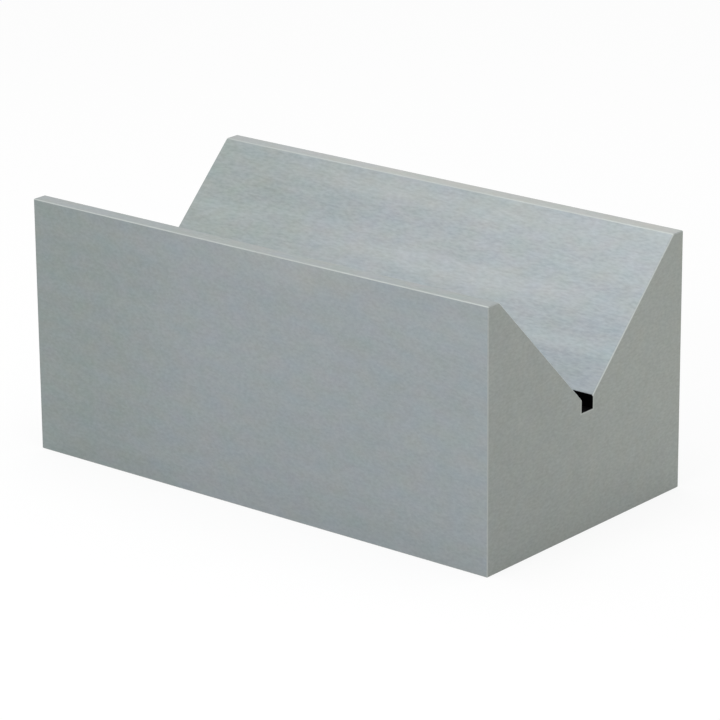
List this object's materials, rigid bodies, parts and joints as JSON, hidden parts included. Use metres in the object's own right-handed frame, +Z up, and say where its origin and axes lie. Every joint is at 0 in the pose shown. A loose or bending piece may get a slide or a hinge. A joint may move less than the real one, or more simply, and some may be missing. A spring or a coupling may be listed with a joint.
{
  "type": "v block",
  "caption": "Long steel bar with a right-angled groove along its top that ends in a narrow square relief slot; round work lies in the groove for marking, drilling or grinding.",
  "frame": {"origin": "centre of the base, in the plane that the block stands on", "axes": "+X along the groove, +Y across it, +Z up, out of the groove's mouth"},
  "size_m": [0.13, 0.07, 0.06],
  "materials": {
    "ground_steel": "fine ground and matt, with the lay along the length"
  },
  "bodies": {
    "root": {"v_block": "ground_steel"}
  },
  "joints": []
}
